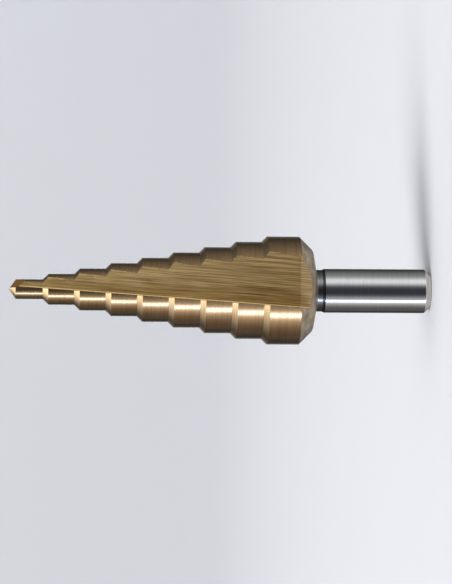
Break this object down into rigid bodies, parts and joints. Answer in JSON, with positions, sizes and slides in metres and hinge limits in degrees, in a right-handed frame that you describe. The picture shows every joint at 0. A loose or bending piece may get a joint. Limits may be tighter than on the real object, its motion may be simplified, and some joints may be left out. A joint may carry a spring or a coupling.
{
  "type": "step drill",
  "caption": "Stepped drill for sheet metal: coated conical stepped body with straight flutes and a split point, on a plain round steel shank.",
  "frame": {"origin": "centre of the shank's flat end, on the drill's axis; the drill stands on this end", "axes": "+Z along the axis, from the shank's end to the point; X is square to the rake faces of the two flutes, one of which opens towards -Y"},
  "size_m": [0.0196, 0.0192, 0.0765],
  "materials": {
    "coated_steel": "ground high speed steel with a gold titanium nitride coating on the stepped body; the shank is bare ground steel"
  },
  "bodies": {
    "root": {"step_drill": "coated_steel"}
  },
  "joints": []
}
